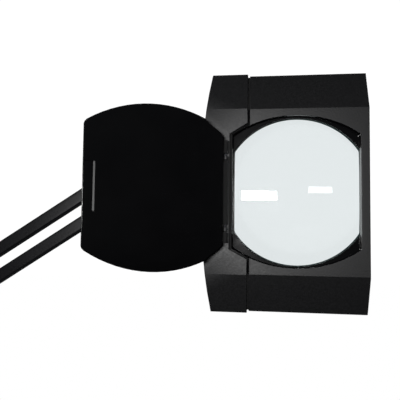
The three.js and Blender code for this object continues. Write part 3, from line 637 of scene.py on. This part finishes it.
def ringed(outer, inner, ends):
    """A tube between two outlines that have the same number of points, along X."""
    shape = bmesh.new()
    loops = [[shape.verts.new((x, a, b)) for a, b in outline] for x, outline in
             ((ends[0], outer), (ends[1], outer), (ends[1], inner), (ends[0], inner))]
    for one, two in zip(loops, loops[1:] + loops[:1]):
        for i in range(len(outer)):
            shape.faces.new((one[i - 1], one[i], two[i], two[i - 1]))
    bmesh.ops.recalc_face_normals(shape, faces=shape.faces)
    return shape


length = (wrist_low - pivot["upper_arm_tilt"]).length / MM
for name, start, end, body, sprung in (
    ("lower_tube_left", elbow_left, base_left, "lower_left_arm", "lower"),
    ("lower_tube_right", elbow_right, base_right, "lower_right_arm", None),
    ("upper_tube_bottom", pivot["upper_arm_tilt"], wrist_low, "upper_bottom_arm", "upper"),
    ("upper_tube_top", pivot["upper_top_pivot"], wrist_high, "upper_top_arm", None),
):
    where = along(start, end)
    tube = ringed(square(TUBE / 2, 2.2), square(TUBE / 2 - TUBE_WALL, 0.8), (-TUBE_END, length + TUBE_END))
    holes = [rod("Y", 2.9, -20, 20, (x, 0)) for x in (0, length)]
    put(name + "_drawn", cut(tube, *holes), where, powder_coat, body, "powder_coated_steel", name)
    if not sprung:
        continue
    coil = grown(helix, Turns=float(SPRING_TURNS), Radius=4.4, Length=float(SPRING[1] - SPRING[0]),
                 Wire_Radius=0.9, Wire_Sides=12)
    coil = moved(coil, x=SPRING[0], turn=Matrix.Rotation(math.radians(90), 3, "Y"))
    put(sprung + "_balance_spring", coil, where, zinc, body, "zinc_steel", sprung + "_spring")
    out = TUBE / 2 + 0.8
    pin = turned("Y", rounded([(0, -out), (1.8, -out), (1.8, out), (0, out)], 0.4), (ANCHOR, 0), 32)
    put(sprung + "_spring_pin", pin, where, zinc, body, "zinc_steel", sprung + "_spring_anchor")

# Elbow: two pressed steel cheeks, held apart by a shouldered spacer, with two pivots for each arm.
SPACER_Z = 16
elbow = (elbow_left + elbow_right) / 2
upper_low = pivot["upper_arm_tilt"]
upper_high = pivot["upper_top_pivot"]
at_elbow = Matrix.Translation(elbow)


def strap(centres, radius, steps=14):
    """The outline round a row of equal circles, whose centres run anticlockwise."""
    points = []
    for i, (x, z) in enumerate(centres):
        before = centres[i - 1]
        after = centres[(i + 1) % len(centres)]
        start = math.degrees(math.atan2(z - before[1], x - before[0])) - 90
        end = math.degrees(math.atan2(after[1] - z, after[0] - x)) - 90
        points += arc(x, z, radius, start, end + (360 if end < start else 0), steps)
    return points


elbow_pivots = [((place - elbow).x / MM, (place - elbow).z / MM)
                for place in (elbow_left, elbow_right, upper_low, upper_high)]
cheek_outline = strap([elbow_pivots[0], elbow_pivots[1], elbow_pivots[3]], 13)
for side, low, high in (("front", -CHEEK[1], -CHEEK[0]), ("back", CHEEK[0], CHEEK[1])):
    plate = cut(
        prism("Y", cheek_outline, low, high),
        *[rod("Y", 2.9, -20, 20, place) for place in elbow_pivots],
        rod("Y", 3.3, -20, 20, (0, SPACER_Z)),
    )
    put(f"elbow_plate_{side}", plate, at_elbow, powder_coat, "elbow", "powder_coated_steel",
        f"elbow_cheek_{side}", bevel=0.5)
inside = CHEEK[0] - CLEARANCE
outside = CHEEK[1] + 1.5
spacer = turned("Y", rounded([
    (0, -outside), (3, -outside), (3, -inside), (6, -inside), (6, inside), (3, inside), (3, outside),
    (0, outside),
], 0.5), (0, SPACER_Z), 48)
put("elbow_spacer_turned", spacer, at_elbow, zinc, "elbow", "zinc_steel", "elbow_spacer")
bolts("elbow_bolts", [elbow_left, elbow_right, upper_high], "elbow",
      "elbow_bolt_left", "elbow_bolt_right", "elbow_bolt_top")
long_bolt = added(
    button_head(FACE, 1),
    turned("Y", rounded([
        (0, -FACE - 15), (2.1, -FACE - 15), (2.5, -FACE - 14.4), (2.5, FACE), (0, FACE),
    ], 0.4), segments=32),
)
put("elbow_knob_bolt", long_bolt, Matrix.Translation(upper_low), zinc, "elbow", "zinc_steel",
    "elbow_bolt_middle")

# Tightening knobs: glass-filled nylon with seven finger lobes, moulded on a steel insert. The glass gives
# the black a dry, faintly sparkling skin.
knob_nylon, tree, shader = surface("glass filled nylon", "#121214", 0.52, IOR=1.53)
fibre = noise(tree, 0.8, 3)
mottled(tree, shader, fibre, "#0c0c0e", "#1b1b1e")
tree.links.new(ranged(tree, fibre, 0.45, 0.62), shader.inputs["Roughness"])
raised(tree, shader, fibre, 0.06, 0.7)
LOBES = 7
STEPS_PER_LOBE = 20
LOBE_DEPTH = 2.4


def lobed_knob(radius, thickness, bore):
    """A lobed grip with rounded rims and a dished face, on a plain boss, along -Y from its shoulder."""
    shape = bmesh.new()
    front = -thickness
    back = -4.3
    rim = [(2.2, front + 0.6), (2, front), (0.9, front + 0.35), (0.25, front + 1.1), (0, front + 2.4),
           (0, back - 1.6), (0.3, back - 0.6), (1.2, back)]
    rings = []
    for inset, y in rim:
        circle = []
        for i in range(LOBES * STEPS_PER_LOBE):
            angle = i * math.tau / (LOBES * STEPS_PER_LOBE)
            r = radius - inset - LOBE_DEPTH / 2 * (1 - math.cos(LOBES * angle))
            circle.append(shape.verts.new((r * math.cos(angle), y, r * math.sin(angle))))
        rings.append(circle)
    for one, two in zip(rings, rings[1:]):
        for i in range(len(one)):
            shape.faces.new((one[i - 1], one[i], two[i], two[i - 1]))
    shape.faces.new(rings[0])
    shape.faces.new(rings[-1])
    bmesh.ops.recalc_face_normals(shape, faces=shape.faces)
    boss = turned("Y", rounded([(0, back - 1), (radius * 0.62, back - 1), (radius * 0.62, 0), (0, 0)], 0.6))
    dish = turned("Y", [
        (0, front - 1), (radius * 0.45, front - 1), (radius * 0.4, front + 1.4), (0, front + 1.8),
    ])
    return cut(joined(shape, boss), rod("Y", bore, -thickness + 4, 1, segments=40), dish)


at_elbow_knob = Matrix.Translation(upper_low - Vector((0, FACE * MM, 0)))
put("elbow_grip", lobed_knob(14, 20, 2.9), at_elbow_knob, knob_nylon,
    "elbow_tightener", "knob_nylon", "elbow_knob", bevel=0.25)

# Wrist: a folded channel that the parallel arm keeps level, with a welded barrel for the head's swivel.
swivel = pivot["head_swivel"]
tilt = pivot["head_tilt"]
at_wrist = Matrix.Translation(wrist_low)
PITCH = pitch.z / MM
SWIVEL_X = (swivel - wrist_low).x / MM
BARREL_Z = (7.5, 47.5)
side = [(-2, -14), (15, -14), (15, PITCH + 14), (-2, PITCH + 14), *arc(-2, PITCH + 5, 9, 90, 180, 12)[1:],
        *arc(-2, -5, 9, 180, 270, 12)[:-1]]
bracket = joined(
    cut(
        prism("Y", side, -CHEEK[1], CHEEK[1]),
        block((-20, 12.5), (-CHEEK[0], CHEEK[0]), (-20, PITCH + 20)),
        *[rod("Y", 2.9, -20, 20, (0, z)) for z in (0, PITCH)],
    ),
    block((14, SWIVEL_X - 5), (-5, 5), (BARREL_Z[0] + 2, BARREL_Z[1] - 2)),
    rod("Z", 9, *BARREL_Z, (SWIVEL_X, 0), 64),
)
bracket = cut(bracket, rod("Z", 5.4, 0, 60, (SWIVEL_X, 0), 64))
put("wrist_bracket", bracket, at_wrist, powder_coat, "wrist", "powder_coated_steel", "head_bracket",
    bevel=0.5)
bolts("wrist_bolts", [wrist_low, wrist_high], "wrist", "wrist_bolt_bottom", "wrist_bolt_top")

# Knuckle: a cast fork that hangs from the swivel pin on a nylon washer, and clamps the neck's tongue.
at_knuckle = Matrix.Translation(tilt)
CHEEK_R = 11
TONGUE = 6
PIN_X = (swivel - tilt).x / MM
BARREL_LOW = (wrist_low - tilt).z / MM + BARREL_Z[0]
BARREL_HIGH = (wrist_low - tilt).z / MM + BARREL_Z[1]
FORK_TOP = BARREL_LOW - 2
fork = joined(
    rod("Z", CHEEK_R, -14, FORK_TOP, (PIN_X, 0), 72),
    block((PIN_X, -12.4), (-CHEEK_R, CHEEK_R), (-14, FORK_TOP)),
    block((-13, 0), (-CHEEK_R, CHEEK_R), (-CHEEK_R, CHEEK_R)),
    rod("Y", CHEEK_R, -CHEEK_R, CHEEK_R, segments=72),
)
fork = cut(
    fork,
    block((-12, 14), (-TONGUE - 0.4, TONGUE + 0.4), (-20, 20)),
    rod("Z", 5.3, FORK_TOP - 10, FORK_TOP + 1, (PIN_X, 0)),
    rod("Y", 3.4, -20, 20),
)
put("knuckle_fork_cast", fork, at_knuckle, powder_coat, "knuckle", "powder_coated_steel", "knuckle_fork",
    bevel=0.7)
pin_top = BARREL_HIGH + CLEARANCE
pin = turned("Z", rounded([
    (0, FORK_TOP - 9.5), (5, FORK_TOP - 9.5), (5, pin_top), (8.5, pin_top), (8.5, pin_top + 2),
    (7.5, pin_top + 3), (0, pin_top + 3),
], 0.6), (PIN_X, 0))
put("swivel_pin_turned", pin, at_knuckle, zinc, "knuckle", "zinc_steel", "swivel_pin")
washer = [(5.4, FORK_TOP + CLEARANCE), (9, FORK_TOP + CLEARANCE), (9, BARREL_LOW - CLEARANCE),
          (5.4, BARREL_LOW - CLEARANCE)]
put("swivel_washer_turned", turned("Z", rounded(washer, 0.3, closed=True), (PIN_X, 0)), at_knuckle, nylon,
    "knuckle", "natural_nylon", "swivel_washer")
face = CHEEK_R + CLEARANCE
bolt = added(
    turned("Y", rounded([(0, -face - 13), (2.5, -face - 13), (3, -face - 12.4), (3, face), (0, face)], 0.4),
           segments=40),
    combined("INTERSECT", prism("Y", hexagon(6), face, face + 4), [turned("Y", rounded([
        (0, face), (6, face), (6, face + 2.8), (5, face + 4), (0, face + 4)], 0.4))]),
)
put("tilt_bolt_hex", bolt, at_knuckle, zinc, "knuckle", "zinc_steel", "tilt_bolt")
put("head_grip", lobed_knob(12, 18, 3.4), at_knuckle @ Matrix.Translation((0, -face * MM, 0)), knob_nylon,
    "head_tightener", "knob_nylon", "head_knob", bevel=0.25)

# Neck: a forged tongue and stem, whose spigot turns in the end cap's bush behind a hex nut.
SPIGOT_R = 7.5
SHOULDER_END = 29.6
SPIGOT_END = 56
neck = joined(
    rod("Y", CHEEK_R, -TONGUE, TONGUE, segments=72),
    block((0, 14.5), (-TONGUE, TONGUE), (-8, 8)),
    turned("X", rounded([
        (0, 13.4), (9.5, 13.4), (10.5, 14.4), (10.5, SHOULDER_END), (SPIGOT_R, SHOULDER_END),
        (SPIGOT_R, SPIGOT_END - 1), (SPIGOT_R - 1, SPIGOT_END), (0, SPIGOT_END),
    ], 0.6)),
)
put("neck_forged", cut(neck, rod("Y", 3.4, -20, 20)), at_knuckle, powder_coat, "neck",
    "powder_coated_steel", "neck", bevel=0.5)
nut = cut(prism("X", hexagon(12), 36.8, 41.8), rod("X", SPIGOT_R + CLEARANCE, 30, 50))
put("neck_hex_nut", nut, at_knuckle, zinc, "neck", "zinc_steel", "neck_nut", bevel=0.4)

# Head shells and end cap: injection-moulded black ABS with a fine spark-eroded grain, drawn coarser here
# than its 0.3 mm so that it shows. The grain scatters the key light, so faces towards it read as dark grey.
# The lens recess is polished black ABS, and its colour, darker than the grained faces, is painted shade
# inside the recess.
# The sleeve under the end cap is coarse from the mould's deep spark erosion, and its near-black colour is
# painted shade in its groove.
moulded, tree, shader = surface("grained moulded ABS", "#0e0e10", 0.5, IOR=1.53)
grain = noise(tree, 1.8, 3)
mottled(tree, shader, ranged(tree, grain, 0, 1, 0.35, 0.65), "#09090a", "#131315")
tree.links.new(ranged(tree, noise(tree, 2.6, 2), 0.44, 0.54), shader.inputs["Roughness"])
raised(tree, shader, grain, 0.12)
# The polished colour is darker than the grained faces: painted shade inside the lens recess.
polished, tree, shader = surface("polished ABS with painted shade", "#060607", 0.13, IOR=1.53)
mottled(tree, shader, noise(tree, 20), "#050506", "#080809")
raised(tree, shader, noise(tree, 4), 0.02, 0.3)
# The coarse colour is near black: painted shade in the sleeve's groove by the hinge and on the cover's
# barrels.
coarse, tree, shader = surface("coarse ABS with painted shade", "#040405", 0.85, IOR=1.53)
pits = noise(tree, 2.2, 3)
mottled(tree, shader, pits, "#030303", "#060607")
raised(tree, shader, pits, 0.15)
RECESS = (Vector((-79, 0.5, -97)), Vector((77, 20, 97)))
SLEEVE_FROM = -60
FOLD_LENGTH = 30
FOLD_ANGLE = math.radians(12)


def packed(node):
    """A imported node's mesh in millimetres, its triangles merged into whole faces with crisp folds."""
    shape = bmesh.new()
    shape.from_mesh(nodes[node].data)
    bmesh.ops.scale(shape, vec=(1 / MM, 1 / MM, 1 / MM), verts=shape.verts)
    bmesh.ops.remove_doubles(shape, verts=shape.verts, dist=1e-3)
    bmesh.ops.dissolve_limit(shape, angle_limit=math.radians(0.6), verts=shape.verts, edges=shape.edges)
    bmesh.ops.triangulate(shape, faces=[face for face in shape.faces if len(face.verts) > 4])
    for edge in shape.edges:
        edge.smooth = edge.calc_length() < FOLD_LENGTH or edge.calc_face_angle(0) < FOLD_ANGLE
    return shape


for node, name in (("front_shell", "front_moulding"), ("back_shell", "back_moulding"),
                   ("end_cap", "end_cap_moulding")):
    shell = packed(node)
    for face in shell.faces:
        place = face.calc_center_median() - head_origin / MM
        recess = node == "front_shell" and all(
            low < value < high for low, value, high in zip(RECESS[0], place, RECESS[1]))
        sleeve = node != "end_cap" and place.x < SLEEVE_FROM and place.y > 0.5
        face.material_index = 1 if recess else 2 if sleeve else 0
    put(name, shell, Matrix(), (moulded, polished, coarse), "head", "moulded_abs", node, bevel=0.7)

# Neck bush: turned nylon, pressed in the end cap, that the head rolls on.
at_roll = Matrix.Translation(Vector((head_origin.x, tilt.y, tilt.z)))
bush = [(SPIGOT_R + CLEARANCE, -119.7), (15, -119.7), (15, -117.8), (11, -117.8), (11, -113.4),
        (SPIGOT_R + CLEARANCE, -113.4)]
put("neck_bush_turned", turned("X", rounded(bush, 0.4, closed=True)), at_roll, nylon, "head",
    "natural_nylon", "neck_bush")

# Lens: a 190 mm biconvex crown glass blank, ground to 157 mm across and polished. The edge and a 4 mm band
# round its front are ground matt and look bottle green, because light reaches them through the glass.
glass, tree, shader = surface("polished crown glass", "#e3e9ea", 0, IOR=1.52, Transmission_Weight=1)
ground, tree, shader = surface("ground glass edge", "#1f3331", 0.45, IOR=1.52)
mottled(tree, shader, noise(tree, 2, 3), "#182b2a", "#27403d")
raised(tree, shader, noise(tree, 0.5, 2), 0.05)
LENS_R = (lens_high.z - lens_low.z) / 2 / MM
LENS_HALF_WIDTH = (lens_high.x - lens_low.x) / 2 / MM
FRONT_CURVE = 450
BACK_CURVE = 285
EDGE_FRONT = 15.5
EDGE = 3
LENS_RINGS = 25
SPOKES = 48
POLISHED = (91.4, 76.2)
at_head = Matrix.Translation(head_origin)


def sag(curve, r):
    return curve - math.sqrt(curve ** 2 - r ** 2)


corner = math.degrees(math.acos(LENS_HALF_WIDTH / LENS_R))
spokes = []
bounds = (-corner, corner, 180 - corner, 180 + corner, 360 - corner)
for start, end in zip(bounds, bounds[1:]):
    spokes += [math.radians(start + (end - start) * i / SPOKES) for i in range(SPOKES)]
shape = bmesh.new()
sides = []
for side in (0, 1):
    rings = []
    for ring in range(LENS_RINGS + 1):
        share = min(1, ring / (LENS_RINGS - 1))
        circle = []
        for angle in spokes:
            radius, half = (LENS_R, LENS_HALF_WIDTH) if ring == LENS_RINGS else POLISHED
            reach = min(radius, half / max(1e-9, abs(math.cos(angle)))) * share
            if side == 0:
                y = EDGE_FRONT - sag(FRONT_CURVE, LENS_R) + sag(FRONT_CURVE, reach)
            else:
                y = EDGE_FRONT + EDGE + sag(BACK_CURVE, LENS_R) - sag(BACK_CURVE, reach)
            circle.append((reach * math.cos(angle), y, reach * math.sin(angle)))
        rings.append([shape.verts.new(circle[0])] * len(spokes) if ring == 0 else
                     [shape.verts.new(co) for co in circle])
    sides.append(rings)
    for one, two in zip(rings, rings[1:]):
        for i in range(len(spokes)):
            face = shape.faces.new(dict.fromkeys((one[i - 1], one[i], two[i], two[i - 1])))
            face.material_index = int(side == 0 and two is rings[-1])
for i in range(len(spokes)):
    edge = shape.faces.new((sides[0][-1][i - 1], sides[0][-1][i], sides[1][-1][i], sides[1][-1][i - 1]))
    edge.material_index = 1
bmesh.ops.recalc_face_normals(shape, faces=shape.faces)
put("lens_blank", shape, at_head, (glass, ground), "head", "lens_glass", "lens")

# Lens mount: a rubber band round the glass, and a satin ring that screws down on it from behind.
put("lens_band", packed("lens_gasket"), Matrix(), rubber, "head", "black_rubber", "lens_gasket", bevel=0.25)
put("lens_ring", packed("lens_retainer"), Matrix(), satin, "head", "satin_abs", "lens_retainer", bevel=0.5)

# Lights: a row of white LEDs on a white board above and below the lens, behind opal acrylic strips.
board_material, tree, shader = surface("white solder mask board", "#e6e8e3", 0.35, IOR=1.5)
place = add(tree, "ShaderNodeTexCoord").outputs["Object"]
tracks = add(tree, "ShaderNodeTexBrick", {"offset": 0.5}, Vector=place, Scale=60, Mortar_Size=0.02)
mix = add(tree, "ShaderNodeMix", {"data_type": "RGBA"}, _0=tracks.outputs[1], _6=linear("#e9ebe6"),
          _7=linear("#cfc9b4"))
tree.links.new(mix.outputs[2], shader.inputs["Base Color"])
opal, tree, shader = surface("opal acrylic", "#eceeed", 0.25, IOR=1.49, Subsurface_Weight=0.4)
shader.inputs["Subsurface Radius"].default_value = (0.004, 0.004, 0.004)
mottled(tree, shader, noise(tree, 12), "#e6e9e8", "#f2f3f2")
raised(tree, shader, noise(tree, 1.2), 0.03, 0.5)
phosphor, tree, shader = surface("LED phosphor gel", "#d9c24a", 0.3, IOR=1.41)
mottled(tree, shader, noise(tree, 1), "#d2b93c", "#e2cf66")
CHIPS = 12
chip = block((-2.5, 2.5), (0, 0.8), (-2.5, 2.5))
gel = turned("Y", [(0, 0.5), (1.8, 0.5), (1.8, 0.85), (1.2, 1), (0, 1.05)], segments=24)
packages = holder(chip)
domes = holder(gel)
for side in ("top", "bottom"):
    board_low, board_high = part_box(f"led_board_{side}")
    for one, look, name in ((packages, board_material, "packages"), (domes, phosphor, "gel")):
        points = bmesh.new()
        for i in range(CHIPS):
            along_board = board_low.x + (board_high.x - board_low.x) * (i + 0.5) / CHIPS
            points.verts.new((along_board / MM, board_high.y / MM, (board_low.z + board_high.z) / 2 / MM))
        put(f"led_{name}_{side}", grown(bolting, points, Bolt=one), Matrix(), look, "head", "circuit_board")
    put(f"led_strip_{side}", packed(f"led_board_{side}"), Matrix(), board_material, "head", "circuit_board",
        f"led_board_{side}", bevel=0.15)
    put(f"opal_strip_{side}", packed(f"diffuser_{side}"), Matrix(), opal, "head", "opal_acrylic",
        f"diffuser_{side}", bevel=0.4)
bpy.data.meshes.remove(packages.data)
bpy.data.meshes.remove(domes.data)
put("driver_circuit", packed("driver_board"), Matrix(), board_material, "head", "circuit_board",
    "driver_board", bevel=0.15)
put("push_switch", packed("power_switch"), Matrix(), satin, "head", "satin_abs", "power_switch", bevel=0.3)

# Push button: satin ABS, in the end cap's top edge, with its rim rounded by the mould.
put("push_button", packed("power_button"), Matrix(), satin, "button", "satin_abs", "power_button", bevel=0.8)

# Case screws: zinc-plated pan heads with a cross recess, in counterbores at the back of the head.
screw_heights = {"case": (13, 37.8), "cap": (40, 50.9)}


def pan_screw(low, high):
    """A cross-recess screw with its head up +Y."""
    head = turned("Y", rounded([
        (0, high - 2.6), (3.4, high - 2.6), (3.4, high - 1.2), (2.2, high), (0, high),
    ], 0.8), segments=40)
    cross = [block((-2, 2), (high - 1.4, high + 1), (-0.45, 0.45)),
             block((-0.45, 0.45), (high - 1.4, high + 1), (-2, 2))]
    shank = turned("Y", rounded([
        (0, low), (0.6, low), (1.6, low + 2), (1.6, high - 2.4), (0, high - 2.4),
    ], 0.3), segments=24)
    return added(cut(head, *cross), shank)


for kind, count in (("case", 4), ("cap", 2)):
    names = [f"{kind}_screw_{i + 1}" for i in range(count)]
    one = holder(pan_screw(*screw_heights[kind]))
    points = bmesh.new()
    for name in names:
        low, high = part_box(name)
        points.verts.new(((low.x + high.x) / 2 / MM, head_origin.y / MM, (low.z + high.z) / 2 / MM))
    put(f"{kind}_screws", grown(bolting, points, Bolt=one), Matrix(), zinc, "head", "zinc_steel", *names)
    bpy.data.meshes.remove(one.data)

# Cover and its hinge: a satin ABS flap that shields the lens, with a finger scoop at its free edge. The
# scoop's ramp is grained for grip, so it catches the key light. Two steel pins in the end cap's lugs carry
# the flap by its coarse barrels.
gripped, tree, shader = surface("grained moulded grip", "#131315", 0.36, IOR=1.53)
grain = noise(tree, 1.2, 3)
mottled(tree, shader, grain, "#0c0c0d", "#151517")
raised(tree, shader, grain, 0.05, 0.6)
BARREL_REACH = 5
SCOOP_FROM = 150
RAMP_COSINE = (0.7, 0.95)
flap = packed("lens_cover")
flap.normal_update()
axis = pivot["cover_hinge"] / MM
plate = max(flap.faces, key=lambda face: face.calc_area()).normal.copy()
# The ramp takes the grained grip. The barrels take the coarse material, whose near-black colour is painted
# shade.
for face in flap.faces:
    reach = (face.calc_center_median() - axis).xy.length
    ramp = reach > SCOOP_FROM and RAMP_COSINE[0] < abs(face.normal.dot(plate)) < RAMP_COSINE[1]
    face.material_index = 1 if ramp else 2 if reach < BARREL_REACH else 0
put("cover_moulding", flap, Matrix(), (satin, gripped, coarse), "cover", "satin_abs", "lens_cover",
    bevel=0.6, flat=1)
# The pins' steel is drawn dark, so that they show dim between the lugs and barrels.
pin_steel, tree, shader = surface("oiled steel", "#35363a", 0.45, 1)
mottled(tree, shader, noise(tree, 1), "#2c2d30", "#404145")
for name in ("hinge_pin_1", "hinge_pin_2"):
    low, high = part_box(name)
    middle = (low + high) / 2
    half = (high.z - low.z) / 2 / MM
    pin = turned("Z", rounded([(0, -half), (1.2, -half), (1.2, half), (0, half)], 0.4), segments=32)
    put(name + "_steel", pin, Matrix.Translation(middle), pin_steel, "head", "zinc_steel", name)

bpy.data.meshes.remove(blank.data)
